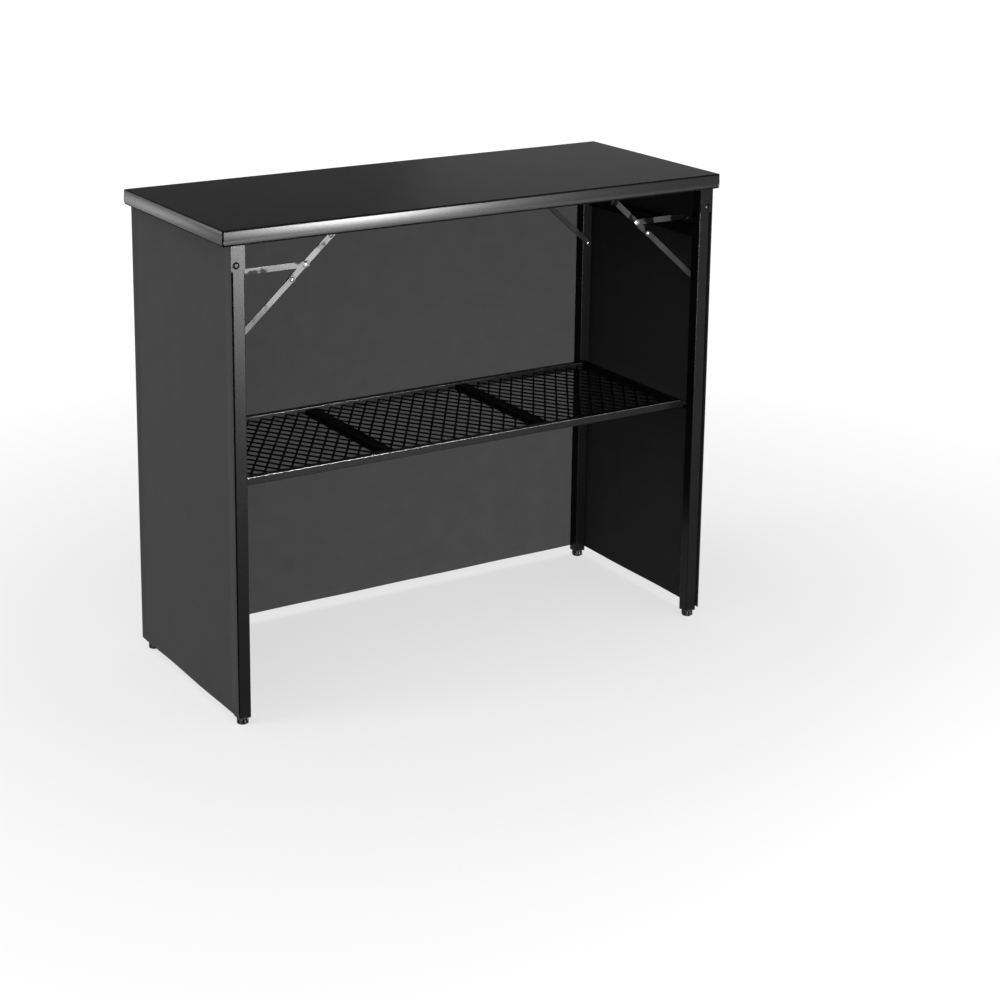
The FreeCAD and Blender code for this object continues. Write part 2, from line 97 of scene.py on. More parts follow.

# Top edge: a black core and lip with a crowned trim strip on it. The core shows as a near-black line
# above the strip and the lip as one below it, partly the board's dark edge and partly painted shade
# lines.
core_step = 2.1 * mm
core_rounding = 0.6 * mm
trim_lip = {"front": 1.9 * mm, "back": 1.9 * mm, "left": 0.7 * mm, "right": 0.7 * mm}
trim_drop = {"front": 2.6 * mm, "back": -1.0 * mm, "left": 2.0 * mm, "right": 2.0 * mm}
trim_crown = 1.5 * mm
trim_rounding = 0.9 * mm
trim_mitre_gap = 2.4 * mm
trim_lean_share = {"front": 0.7, "back": 0.0, "left": -0.35, "right": -0.35}
lip_reach = 2.4 * mm
lip_thick = 0.5 * mm
core_mitre_gap = 0.05 * mm

# Shelf mesh: long diamonds, their long way across the shelf
lattice_pitch_x = 29.0 * mm
lattice_pitch_y = 43.0 * mm
lattice_strand = 4.1 * mm
lattice_thickness = 2.4 * mm
# radius of the bright steel line on each shelf rail's top edge, a painted highlight
edge_line = {"front": 0.9 * mm, "back": 0.55 * mm}
edge_line_sides = 12

# Fasteners
rivet_rim = 0.6 * mm
rivet_head = 2.0 * mm
rivet_radius = 5.0 * mm
stud_radius = 6.3 * mm
stud_head = 1.7 * mm
stud_gap = 0.3 * mm
rivet_shank = 3.0 * mm
socket_across = 4.0 * mm
socket_depth = 1.2 * mm
nut_across = 10.0 * mm
nut_chamfer = 0.7 * mm
round_sides = 48
dome_rim_share = 0.7
dome_edge_share = 0.97
head_rim_share = 0.35
socket_reach_share = 0.66
socket_taper_share = 0.97
shank_end = 1.0 * mm
nut_cone_share = 0.96
nut_cone_slope = 1.6

# Levelling feet
foot_lobes = 8
foot_groove = 2.7 * mm
# share of each lobe period whose upright faces take the near-black finish, painted shade in the grooves
painted_groove_shade_share = 0.5
foot_chamfer = 1.8 * mm
foot_neck = 9.0 * mm
foot_neck_height = 2.5 * mm
stem_radius = 4.0 * mm
thread_pitch = 1.25 * mm
thread_depth = 0.35 * mm
thread_sides = 24
thread_steps = 6
foot_gap = 0.3 * mm
foot_neck_round = 0.4 * mm
groove_power = 0.6

# Skirt cloth, its hems and its stitching
cloth_thickness = 1.1 * mm
cloth_fold_radius = 1.6 * mm
cloth_wave = 0.7 * mm
cloth_wave_length = 260.0 * mm
hem_width = 14.0 * mm
hem_extra = 0.7 * mm
stitch_pitch = 4.0 * mm
stitch_length = 3.0 * mm
stitch_radius = 0.3 * mm
cloth_edge = 0.5 * mm
cloth_column = 18.0 * mm
hem_step = 1.0 * mm
stitch_inset = 2.5 * mm
stitch_start = 8.0 * mm
nudge = 1e-4

# Edges of the flat steel parts, and the distances under which points are merged
steel_edge = 0.5 * mm
bracket_edge = 0.6 * mm
weld = 0.001 * mm
cad_weld = 0.005 * mm


def linear(code):
    """sRGB hex to linear colour: c/12.92 below 0.04045, else ((c + 0.055)/1.055) to the power 2.4."""
    values = [int(code[start:start + 2], 16) / 255 for start in (1, 3, 5)]
    turned = [c / 12.92 if c <= 0.04045 else ((c + 0.055) / 1.055) ** 2.4 for c in values]
    return (*turned, 1.0)


def add(tree, kind, settings=None, links=None):
    """A node with its properties and input values set by name, and its inputs linked."""
    node = tree.nodes.new(kind)
    for name, value in (settings or {}).items():
        if isinstance(name, int) or name in node.inputs:
            node.inputs[name].default_value = value
        else:
            setattr(node, name, value)
    for name, source in (links or {}).items():
        tree.links.new(source, node.inputs[name])
    return node


def new_material(name, settings):
    """A material with one principled shader, and the tree and shader to build on."""
    material = bpy.data.materials.new(name)
    material.use_nodes = True
    tree = material.node_tree
    tree.nodes.clear()
    shader = add(tree, "ShaderNodeBsdfPrincipled", settings)
    add(tree, "ShaderNodeOutputMaterial", None, {"Surface": shader.outputs["BSDF"]})
    return material, tree, shader


def noise(tree, size, detail, stretch=(1.0, 1.0, 1.0)):
    """Noise on Object coordinates whose grains are about size metres, stretched along the axes."""
    place = add(tree, "ShaderNodeTexCoord")
    scaled = add(tree, "ShaderNodeMapping", {"Scale": tuple(1 / (size * s) for s in stretch)},
                 {"Vector": place.outputs["Object"]})
    return add(tree, "ShaderNodeTexNoise", {"Scale": 1.0, "Detail": detail},
               {"Vector": scaled.outputs["Vector"]}).outputs["Fac"]


def ranged(tree, value, low, high, start=0.3, end=0.7):
    """A noise value between start and end, stretched to run from low to high."""
    node = add(tree, "ShaderNodeMapRange", {"From Min": start, "From Max": end, "To Min": low,
                                            "To Max": high}, {"Value": value})
    return node.outputs["Result"]


def blended(tree, factor, first, second):
    """A colour that goes from the first hex value to the second by a factor."""
    ramp = add(tree, "ShaderNodeValToRGB", None, {"Fac": factor})
    ramp.color_ramp.elements[0].color = linear(first)
    ramp.color_ramp.elements[1].color = linear(second)
    ramp.color_ramp.elements[0].position = 0.3
    ramp.color_ramp.elements[1].position = 0.7
    return ramp.outputs["Color"]


def bumped(tree, shader, height, depth, strength=1.0):
    """The shader's normal pushed by a height that is depth metres from low to high."""
    bump = add(tree, "ShaderNodeBump", {"Strength": strength, "Distance": depth}, {"Height": height})
    tree.links.new(bump.outputs["Normal"], shader.inputs["Normal"])


def grained(name, settings, grain, colours, roughness=None, depth=None):
    """A material whose colour, roughness and bump follow one noise. grain is that noise's size,
    detail and stretch."""
    material, tree, shader = new_material(name, settings)
    value = noise(tree, *grain)
    tree.links.new(blended(tree, value, *colours), shader.inputs["Base Color"])
    if roughness:
        tree.links.new(ranged(tree, value, *roughness), shader.inputs["Roughness"])
    if depth:
        bumped(tree, shader, value, depth)
    return material


def satin_laminate():
    """Black melamine laminate pressed with a fine grain: dark, and satin in low light."""
    material, tree, shader = new_material("satin_laminate", {"Specular IOR Level": 0.01})
    tone = noise(tree, 60 * mm, 3.0)
    tree.links.new(blended(tree, tone, "#171717", "#1d1d1d"), shader.inputs["Base Color"])
    grain = noise(tree, 1.2 * mm, 2.0)
    tree.links.new(ranged(tree, grain, 0.30, 0.38), shader.inputs["Roughness"])
    bumped(tree, shader, grain, 0.05 * mm)
    return material


def core_black_and_painted_shade():
    """The laminate's cut edge over the black core board, matte and near black. Its near black is partly
    painted shade: it draws the dark lines along the trim strip and the dark grooves of the feet.
    """
    return grained("core_black_and_painted_shade", {"Specular IOR Level": 0.05, "Roughness": 0.8},
                   (2.5 * mm, 3.0), ("#050505", "#0b0b0b"), depth=0.1 * mm)


def metallic_band():
    """Dark metal-look edge trim, drawn lengthways: bright where a lamp runs along its crown."""
    return grained("metallic_band", {"Metallic": 0.9}, (1.2 * mm, 2.0, (60.0, 60.0, 0.5)),
                   ("#252525", "#272727"), (0.272, 0.280), 0.0002 * mm)


def powder_coat():
    """Black polyester powder coat on steel, baked: semi-gloss with a fine orange peel."""
    material, tree, shader = new_material("powder_coated_steel", {"Specular IOR Level": 0.1})
    peel = noise(tree, 2.2 * mm, 2.0)
    tone = noise(tree, 90 * mm, 2.0)
    tree.links.new(blended(tree, tone, "#060606", "#0a0a0a"), shader.inputs["Base Color"])
    tree.links.new(ranged(tree, peel, 0.26, 0.31), shader.inputs["Roughness"])
    bumped(tree, shader, peel, 0.02 * mm)
    return material


def dip_coat():
    """Black epoxy dip on the shelf's mesh and cross bars: deeper and duller than the powder."""
    return grained("epoxy_dip", {"Specular IOR Level": 0.05}, (1.8 * mm, 2.0),
                   ("#030303", "#060606"), (0.5, 0.6), 0.05 * mm)


def gunmetal():
    """Blackened zinc on flat steel bars, stamped and tumbled: a grey metal whose slight bends catch the
    light in places. Its base colour runs from near black to grey in long patches, partly the zinc's
    cloudiness and partly painted highlights and dark reflections along the bars. A bend's height is in
    scratch depths, for one bump node."""
    material, tree, shader = new_material("gunmetal_zinc", {"Metallic": 1.0})
    cloud = ranged(tree, noise(tree, 48 * mm, 2.0), 0.0, 1.0, 0.38, 0.50)
    scratch = noise(tree, 0.9 * mm, 4.0)
    scratch_depth = 0.02 * mm
    bend_depth = 2.0 * mm
    bend = noise(tree, 60 * mm, 0.0)
    height = add(tree, "ShaderNodeMath", {"operation": "MULTIPLY_ADD", 1: bend_depth / scratch_depth},
                 {0: bend, 2: scratch})
    # long patches of lighter base colour: partly cloudy zinc, partly painted highlights on the bars
    tree.links.new(blended(tree, cloud, "#080808", "#272727"), shader.inputs["Base Color"])
    tree.links.new(ranged(tree, cloud, 0.28, 0.34), shader.inputs["Roughness"])
    bumped(tree, shader, height.outputs[0], scratch_depth)
    return material


def painted_highlight_edge():
    """A bright steel finish for a fine line along an edge: a painted highlight of the edge's glint, on a
    rail that is powder coated all over.
    """
    return grained("painted_highlight_steel", {"Metallic": 1.0}, (6.0 * mm, 2.0, (30.0, 1.0, 1.0)),
                   ("#646464", "#707070"), (0.22, 0.32))


def bright_rivet():
    """Bright nickel on rivets and bolt heads, barrel polished."""
    return grained("bright_nickel", {"Metallic": 1.0}, (3.0 * mm, 3.0),
                   ("#767676", "#8a8a8a"), (0.18, 0.26))


def black_fastener():
    """Black oxide on screws and bolts, oiled: near black with a soft metal shine."""
    return grained("black_oxide", {"Metallic": 1.0}, (2.0 * mm, 3.0),
                   ("#141414", "#1e1e1e"), (0.24, 0.34))


def foot_metal():
    """Nickel-plated die-cast feet: warm silver grey, a little rough from the casting."""
    return grained("plated_casting", {"Metallic": 1.0}, (1.6 * mm, 3.0),
                   ("#343332", "#42413f"), (0.28, 0.40), 0.05 * mm)


def moulded_nylon():
    """Black nylon, injection moulded with a fine spark texture."""
    return grained("moulded_nylon", {"Specular IOR Level": 0.4}, (0.8 * mm, 2.0),
                   ("#101011", "#161617"), (0.45, 0.6), 0.05 * mm)


def wave_of(tree, value, period):
    """The absolute sine of a length, which peaks once each period."""
    scaled = add(tree, "ShaderNodeMath", {"operation": "MULTIPLY", 1: math.pi / period}, {0: value})
    sine = add(tree, "ShaderNodeMath", {"operation": "SINE"}, {0: scaled.outputs[0]})
    return add(tree, "ShaderNodeMath", {"operation": "ABSOLUTE"}, {0: sine.outputs[0]}).outputs[0]


def woven_polyester():
    """Dyed oxford polyester, plain weave: flat dark grey, thread over thread. The real threads
    are about 0.6 mm apart, drawn at 1.4 mm so that they show from a step away."""
    thread = 1.4 * mm
    material, tree, shader = new_material("woven_polyester", {
        "Specular IOR Level": 0.2, "Roughness": 0.85, "Sheen Weight": 0.08, "Sheen Roughness": 0.5})
    place = add(tree, "ShaderNodeUVMap", {"uv_map": "cloth"})
    split = add(tree, "ShaderNodeSeparateXYZ", None, {"Vector": place.outputs["UV"]})
    warp = wave_of(tree, split.outputs["X"], thread)
    weft = wave_of(tree, split.outputs["Y"], thread)
    over = add(tree, "ShaderNodeTexChecker", {"Scale": 1 / thread, "Color1": (1, 1, 1, 1),
                                              "Color2": (0, 0, 0, 1)},
               {"Vector": place.outputs["UV"]})
    weave = add(tree, "ShaderNodeMix", {"data_type": "FLOAT"}, {0: over.outputs["Fac"], 2: warp, 3: weft})
    cloud = noise(tree, 45 * mm, 3.0)
    slub = noise(tree, 3.0 * mm, 2.0)
    mixed = add(tree, "ShaderNodeMath", {"operation": "MULTIPLY_ADD", 1: 0.25},
                {0: slub, 2: ranged(tree, cloud, 0.25, 0.5)})
    tree.links.new(blended(tree, mixed.outputs[0], "#333334", "#393939"), shader.inputs["Base Color"])
    bumped(tree, shader, weave.outputs[0], 0.12 * mm, 0.6)
    return material


def sewing_thread():
    """Spun polyester thread, a little lighter than the cloth."""
    return grained("sewing_thread", {"Roughness": 0.8, "Specular IOR Level": 0.3},
                   (0.8 * mm, 2.0), ("#3a3a3b", "#505051"))


def hook_tape():
    """Black nylon hook tape: a dense pile of tiny hooks that takes the light."""
    return grained("hook_tape", {"Roughness": 0.95, "Specular IOR Level": 0.2},
                   (1.5 * mm, 2.0), ("#0d0d0e", "#1c1c1d"), depth=0.6 * mm)


finish = {
    "top_board": satin_laminate(),
    "core": core_black_and_painted_shade(),
    "edge_band": metallic_band(),
    "powder_coat": powder_coat(),
    "shelf_coat": dip_coat(),
    "painted_highlight_edge": painted_highlight_edge(),
    "stay_steel": gunmetal(),
    "bright_rivet": bright_rivet(),
    "black_fastener": black_fastener(),
    "foot_metal": foot_metal(),
    "plug_plastic": moulded_nylon(),
    "skirt_cloth": woven_polyester(),
    "thread": sewing_thread(),
    "hook_tape": hook_tape(),
}


def surface(points, round_rows=False, round_columns=False):
    """Points of a grid (rows, columns, 3) and its quads, joined round on itself where asked."""
    count_rows, count_columns = points.shape[:2]
    index = np.arange(count_rows * count_columns).reshape(count_rows, count_columns)
    if round_rows:
        index = np.vstack([index, index[:1]])
    if round_columns:
        index = np.hstack([index, index[:, :1]])
    quads = np.stack([index[:-1, :-1], index[:-1, 1:], index[1:, 1:], index[1:, :-1]], axis=-1)
    return points.reshape(-1, 3), quads.reshape(-1, 4).tolist()


def new_object(name, data):
    """An object in the scene's own collection."""
    item = bpy.data.objects.new(name, data)
    bpy.context.scene.collection.objects.link(item)
    return item


def vertices_of(mesh):
    """The places of a mesh's vertices, as an array (n, 3)."""
    places = np.empty(len(mesh.vertices) * 3)
    mesh.vertices.foreach_get("co", places)
    return places.reshape(-1, 3)


def make_piece(name, body, shells, materials, replaced=(), smooth_angle=35.0):
    """One object from shells of (points, faces, material number), closed and with faces outwards."""
    points, faces, numbers = [], [], []
    start = 0
    for shell_points, shell_faces, number in shells:
        points.append(shell_points)
        faces += [[start + corner for corner in face] for face in shell_faces]
        numbers += [number] * len(shell_faces)
        start += len(shell_points)
    mesh = bpy.data.meshes.new(name)
    mesh.from_pydata(np.vstack(points).tolist(), [], faces)
    mesh.polygons.foreach_set("material_index", numbers)
    shape = bmesh.new()
    shape.from_mesh(mesh)
    bmesh.ops.remove_doubles(shape, verts=shape.verts, dist=weld)
    bmesh.ops.recalc_face_normals(shape, faces=shape.faces)
    shape.to_mesh(mesh)
    shape.free()
    mesh.shade_smooth()
    mesh.set_sharp_from_angle(angle=math.radians(smooth_angle))
    piece = new_object(name, mesh)
    for material in materials:
        mesh.materials.append(finish[material])
    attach(piece, body)
    if replaced:
        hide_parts(*replaced)
    return piece


def softened(node, slot, edge):
    """A CAD node's shape with its sharp edges rounded to a small radius."""
    mesh = nodes[node].data.copy()
    for old in [layer for layer in mesh.attributes if layer.name == "custom_normal"]:
        mesh.attributes.remove(old)
    shape = bmesh.new()
    shape.from_mesh(mesh)
    bmesh.ops.remove_doubles(shape, verts=shape.verts, dist=cad_weld)
    bmesh.ops.dissolve_limit(shape, angle_limit=math.radians(1.0), verts=shape.verts, edges=shape.edges)
    for face in shape.faces:
        face.smooth = True
    for line in shape.edges:
        line.smooth = True
    shape.to_mesh(mesh)
    shape.free()
    piece = new_object(f"{node}_finished", mesh)
    mesh.materials.clear()
    mesh.materials.append(finish[slot])
    bevel = piece.modifiers.new("rounded_edges", "BEVEL")
    bevel.width = edge
    bevel.segments = 2
    bevel.limit_method = "ANGLE"
    bevel.angle_limit = math.radians(40)
    bevel.harden_normals = True
    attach(piece, body_of[node])
    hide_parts(node)
    return piece


def corner_box(node, side, row):
    """Lowest and highest corner of what a node has in one corner of the bar, mirrored to +X, +Y."""
    points = vertices_of(nodes[node].data) * (sides[side], rows[row], 1)
    points = points[(points[:, 0] > 0) & (points[:, 1] > 0)]
    return points.min(axis=0), points.max(axis=0)


def at_joint(name):
    """The place of a joint as (distance from the middle, height)."""
    x, _, z = joint_place[name]
    return abs(x), z


def mitred_bar(outline, reach, half_length, shorten, rounding):
    """A bar on the +Y side whose ends are cut at 45 degrees. outline is its closed section as
    (y, z). The end at height y is at half_length - (reach - y) - shorten, and near it the section
    draws in by rounding - sqrt(rounding^2 - distance^2), a quarter circle."""
    y, z = outline[:, 0], outline[:, 1]
    middle = np.array([y.mean(), z.mean()])
    share = np.linspace(0, 1, 6)
    inset = rounding * (1 - np.sqrt(1 - (1 - share) ** 2))
    back = rounding * share
    sections = []
    for drawn, behind in zip(inset, back):
        toward = middle - outline
        length = np.maximum(np.abs(toward), 1e-9)
        moved = outline + np.sign(toward) * np.minimum(drawn, length)
        end = half_length - (reach - moved[:, 0]) - shorten - behind
        sections.append(np.stack([end, moved[:, 0], moved[:, 1]], axis=1))
    left = [section * (-1, 1, 1) for section in sections]
    grid = np.stack(left + sections[::-1])
    points, faces = surface(grid, round_columns=True)
    count = len(outline)
    first = list(range(count))
    last = [len(points) - count + number for number in range(count)]
    return points, faces + [first, last]


def turned_about_z(points, quarter_turns):
    """Points turned about the Z axis by a number of quarter turns."""
    angle = quarter_turns * math.pi / 2
    turn = np.array([[math.cos(angle), -math.sin(angle), 0], [math.sin(angle), math.cos(angle), 0],
                     [0, 0, 1]])
    return points @ turn.T


def trim_section(inner, outer, low, high, crown, lean, rounding):
    """Closed section of a strip: flat at inner, and outside a crown whose drop is that of
    ((t - lean) / (1 + |lean|))^2 over a height share t from -1 to 1. Its ends are rounded by a
    quarter circle."""
    share = np.sin(np.linspace(-math.pi / 2, math.pi / 2, 33))
    middle, half = (low + high) / 2, (high - low) / 2
    near = np.clip((np.abs(share) * half - (half - rounding)) / rounding, 0, 1)
    leaning = (share - lean) / (1 + abs(lean))
    out = outer - crown * leaning ** 2 - rounding * (1 - np.sqrt(1 - near ** 2))
    face = np.stack([out, middle + share * half], axis=1)
    back = np.array([[inner, high], [inner, low]])
    return np.vstack([face, back])


def edge_trims():
    """The four sides of the top's edge: a black core, the crowned strip on it, and a black lip behind the
    strip where it hangs below the board. The near-black core and lip are partly painted shade, the dark
    lines above and below the strip."""
    low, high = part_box("edge_front")
    board_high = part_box("top_panel")[1]
    half_width, half_depth = high.x, -low.y
    band = half_width - board_high.x
    bottom, top = low.z, high.z
    for name, turns, along, reach in (("edge_back", 0, half_width, half_depth),
                                      ("edge_front", 2, half_width, half_depth),
                                      ("edge_left", 1, half_depth, half_width),
                                      ("edge_right", 3, half_depth, half_width)):
        inner = reach - band
        place = name.removeprefix("edge_")
        drop = trim_drop[place]
        core = trim_section(inner, reach - core_step, bottom, top, 0.0, 0.0, core_rounding)
        strip = trim_section(reach - core_step, reach, bottom - drop, top - trim_lip[place],
                             trim_crown, trim_lean_share[place], trim_rounding)
        sections = [(core, core_mitre_gap, core_rounding, 0), (strip, trim_mitre_gap, trim_rounding, 1)]
        # the lip hangs a near-black sheet under the strip as a painted shadow line
        if drop > 0:
            lip = trim_section(reach - core_step - lip_thick, reach - core_step,
                               bottom - drop - lip_reach, bottom, 0.0, 0.0, lip_thick / 2)
            sections.append((lip, core_mitre_gap, lip_thick / 2, 0))
        shells = []
        for section, gap, rounding, number in sections:
            points, faces = mitred_bar(section, reach, along, gap, rounding)
            shells.append((turned_about_z(points, turns), faces, number))
        make_piece(f"{name}_trim", "root", shells, ["core", "edge_band"], [name])


def lattice(low_x, high_x, low_y, high_y, top):
    """A sheet of diamond cells, half a pitch apart along X and Y. The hole in a cell is the cell
    scaled by 1 - half a strand over the distance from its middle to its side. Cells that cross the
    border are clamped to it, which keeps half of them, and the empty quads go."""
    columns = round((high_x - low_x) / (lattice_pitch_x / 2))
    lines = round((high_y - low_y) / (lattice_pitch_y / 2))
    half_x = (high_x - low_x) / columns
    half_y = (high_y - low_y) / lines
    hole = 1 - lattice_strand / 2 * math.hypot(half_x, half_y) / (half_x * half_y)
    column, line = np.meshgrid(np.arange(columns + 1), np.arange(lines + 1), indexing="ij")
    kept = (column + line) % 2 == 0
    centre = np.stack([low_x + column[kept] * half_x, low_y + line[kept] * half_y], axis=1)
    tips = np.array([[1, 0], [0, 1], [-1, 0], [0, -1]]) * (half_x, half_y)
    outer = centre[:, None, :] + tips
    inner = centre[:, None, :] + tips * hole
    quads = np.stack([outer, np.roll(outer, -1, axis=1), np.roll(inner, -1, axis=1), inner], axis=2)
    quads = quads.reshape(-1, 4, 2)
    quads = np.clip(quads, (low_x, low_y), (high_x, high_y))
    x, y = quads[:, :, 0], quads[:, :, 1]
    area = np.abs(np.sum(x * np.roll(y, -1, axis=1) - y * np.roll(x, -1, axis=1), axis=1)) / 2
    quads = quads[area > 1e-9]
    points = np.concatenate([quads.reshape(-1, 2), np.full((len(quads) * 4, 1), top)], axis=1)
    return points, np.arange(len(points)).reshape(-1, 4).tolist()


def shelf_meshes():
    """Three lattice panels that fill the shelf frame between its bars."""
    for place in ("left", "middle", "right"):
        node = f"shelf_mesh_{place}"
        low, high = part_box(node)
        points, faces = lattice(low.x, high.x, low.y, high.y, high.z)
        piece = make_piece(f"{node}_wire", "shelf", [(points, faces, 0)],
                           ["shelf_coat"], [node])
        flip_to_up(piece)
        wall = piece.modifiers.new("wire_thickness", "SOLIDIFY")
        wall.thickness = lattice_thickness
        wall.offset = -1.0
        wall.use_even_offset = True


def rail_highlight_lines():
    """A fine round line on the front top corner of the front and back shelf rail, in bright steel: a
    painted highlight along the edge.
    """
    count = edge_line_sides
    angle = np.linspace(0, 2 * math.pi, count, endpoint=False)
    for row, line in edge_line.items():
        low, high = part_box(f"shelf_rail_{row}")
        y = low.y + line + line * np.cos(angle)
        z = high.z - line + line * np.sin(angle)
        ends = [np.stack([np.full(count, x), y, z], axis=1) for x in (low.x + line, high.x - line)]
        points, faces = surface(np.stack(ends), round_columns=True)
        caps = [list(range(count)), list(range(count, 2 * count))]
        make_piece(f"shelf_rail_{row}_edge", "shelf", [(points, faces + caps, 0)],
                   ["painted_highlight_edge"])


def flip_to_up(piece):
    """Turns an open flat sheet so that its faces look up."""
    if piece.data.polygons[0].normal.z < 0:
        piece.data.flip_normals()


def revolved(profile, sides_count=round_sides):
    """A closed solid of revolution about +Y. profile is (radius, y) from pole to pole."""
    angle = np.linspace(0, 2 * math.pi, sides_count, endpoint=False)
    radius, along = np.array(profile)[:, 0], np.array(profile)[:, 1]
    x = radius[:, None] * np.cos(angle)
    z = radius[:, None] * np.sin(angle)
    y = np.broadcast_to(along[:, None], x.shape)
    return surface(np.stack([x, y, z], axis=-1), round_columns=True)


def dome(radius, rim, height, steps=9):
    """(radius, height) of a rivet head from its rim to its pole: a cap of a sphere on a short rim,
    whose edge has a small round."""
    rise = height - rim
    ball = (radius ** 2 + rise ** 2) / (2 * rise)
    widest = math.asin(radius / ball)
    angle = np.linspace(widest * dome_edge_share, 0, steps)
    cap = np.stack([ball * np.sin(angle), rim + rise - ball * (1 - np.cos(angle))], axis=1)
    base = np.array([[radius, 0.0], [radius, rim * dome_rim_share]])
    return np.vstack([base, cap])


def placed(shell, centre, side, row):
    """A shell built about the Y axis, moved to (x, z) in the back right corner and mirrored."""
    points, faces = shell
    moved = points + (centre[0], 0, centre[1])
    return moved * (sides[side], rows[row], 1), faces, 0


def rivet_profile(tail, head, head_radius, head_height, stops):
    """A rivet from y = tail to y = head: a domed head at each end, and between them the shank with
    stops of (radius, from y, to y)."""
    near = dome(rivet_radius, rivet_rim, rivet_head) * (1, -1) + (0, tail + rivet_head)
    far = dome(head_radius, rivet_rim, head_height) + (0, head - head_height)
    middle = [(rivet_shank, tail + rivet_head)]
    for radius, start, end in stops:
        middle += [(rivet_shank, start), (radius, start), (radius, end), (rivet_shank, end)]
    middle += [(rivet_shank, head - head_height)]
    return np.vstack([near[::-1], middle, far])


def stay_rivets():
    """The rivets of the braces and latches at all four corners."""
    for side in sides:
        leg_shells, upper_shells, knee_shells = [], [], []
        for row in rows:
            stay_low, stay_high = corner_box(f"lower_stay_{row}_{side}", side, row)
            leg_face = corner_box(f"leg_{row}_{side}", side, row)[0][1]
            node = f"leg_rivets_{side}"
            low, high = corner_box(node, side, row)
            washer = [(rivet_radius, stay_high[1], leg_face)]
            shell = revolved(rivet_profile(low[1], high[1], rivet_radius, rivet_head, washer))
            leg_shells += [placed(shell, at_joint(f"{joint}_{side}"), side, row)
                           for joint in ("stay_foot", "latch_pivot")]
            low, high = corner_box(f"upper_stay_rivets_{side}", side, row)
            inner, outer = corner_box(f"upper_stay_{row}_{side}", side, row)
            stud_at = (low[0] + rivet_radius, high[2] - rivet_radius)
            stud_top = stay_high[1] + stud_gap + stud_head
            shell = revolved(rivet_profile(low[1], stud_top, stud_radius, stud_head, []))
            upper_shells.append(placed(shell, stud_at, side, row))
            knee_low, knee_high = corner_box(f"knee_rivets_{side}", side, row)
            knee_at = ((knee_low[0] + knee_high[0]) / 2, (knee_low[2] + knee_high[2]) / 2)
            half = dome(rivet_radius, rivet_rim, rivet_head) * (1, -1) + (0, inner[1])
            ends = [(rivet_shank, inner[1]), (rivet_shank, outer[1]), (0.0, outer[1])]
            upper_shells.append(placed(revolved(np.vstack([half[::-1], ends])), knee_at, side, row))
            half = dome(rivet_radius, rivet_rim, rivet_head) + (0, stay_high[1])
            ends = [(0.0, stay_low[1]), (rivet_shank, stay_low[1]), (rivet_shank, stay_high[1])]
            knee_shells.append(placed(revolved(np.vstack([ends, half])), knee_at, side, row))
        for node, shells in ((f"leg_rivets_{side}", leg_shells),
                             (f"upper_stay_rivets_{side}", upper_shells),
                             (f"knee_rivets_{side}", knee_shells)):
            make_piece(f"{node}_turned", body_of[node], shells, ["bright_rivet"], [node])
    shells = []
    for side, row in corners:
        low, high = corner_box("stay_pins", side, row)
        stay = corner_box(f"upper_stay_{row}_{side}", side, row)[1]
        cap = dome(rivet_radius, rivet_rim, high[1] - stay[1]) + (0, stay[1])
        tail = dome(rivet_radius, rivet_rim, rivet_head) * (1, -1) + (0, low[1] + rivet_head)
        shank = [(rivet_shank, low[1] + rivet_head), (rivet_shank, stay[1])]
        shell = revolved(np.vstack([tail[::-1], shank, cap]))
        shells.append(placed(shell, at_joint(f"stay_head_{side}"), side, row))
    make_piece("stay_pins_turned", "root", shells, ["stay_steel"], ["stay_pins"])


def hexagon(angle, across):
    """Radius of a hexagon at an angle: half the width across flats over the cosine of the angle
    from the nearest flat."""
    sector = math.pi / 3
    return across / 2 / np.cos((angle + sector / 2) % sector - sector / 2)


def button_head(seat, height, radius):
    """A low domed head on a seat at y, with a hexagonal socket sunk into its crown."""
    angle = np.linspace(0, 2 * math.pi, round_sides, endpoint=False)
    profile = dome(radius, height * head_rim_share, height, 10)
    rim = profile[profile[:, 0] > socket_across * socket_reach_share]
    radii = [np.full(round_sides, 0.0), np.full(round_sides, radius)]
    heights = [0.0, 0.0]
    for out, up in rim[1:]:
        radii.append(np.full(round_sides, out))
        heights.append(up)
    crown = heights[-1]
    socket = hexagon(angle, socket_across)
    radii += [socket, socket * socket_taper_share, np.full(round_sides, 0.0)]
    heights += [crown, crown - socket_depth, crown - socket_depth]
    radii = np.array(radii)
    y = np.broadcast_to(np.array(heights)[:, None], radii.shape) + seat
    return surface(np.stack([radii * np.cos(angle), y, radii * np.sin(angle)], axis=-1),
                   round_columns=True)


def hex_nut(start, end):
    """A hexagonal nut between two places along Y. Its radius at an angle is the hexagon's or that
    of a chamfer cone, whichever is less."""
    angle = np.linspace(0, 2 * math.pi, round_sides, endpoint=False)
    depth = np.array([0.0, 0.5, 1.0]) * nut_chamfer
    along = np.concatenate([start + depth, end - depth[::-1]])
    cone = nut_across / 2 * nut_cone_share + np.concatenate([depth, depth[::-1]]) * nut_cone_slope
    body = np.minimum(hexagon(angle, nut_across)[None, :], cone[:, None])
    body = np.vstack([np.zeros(round_sides), body, np.zeros(round_sides)])
    y = np.concatenate([[start], along, [end]])
    y = np.broadcast_to(y[:, None], body.shape)
    return surface(np.stack([body * np.cos(angle), y, body * np.sin(angle)], axis=-1),
                   round_columns=True)


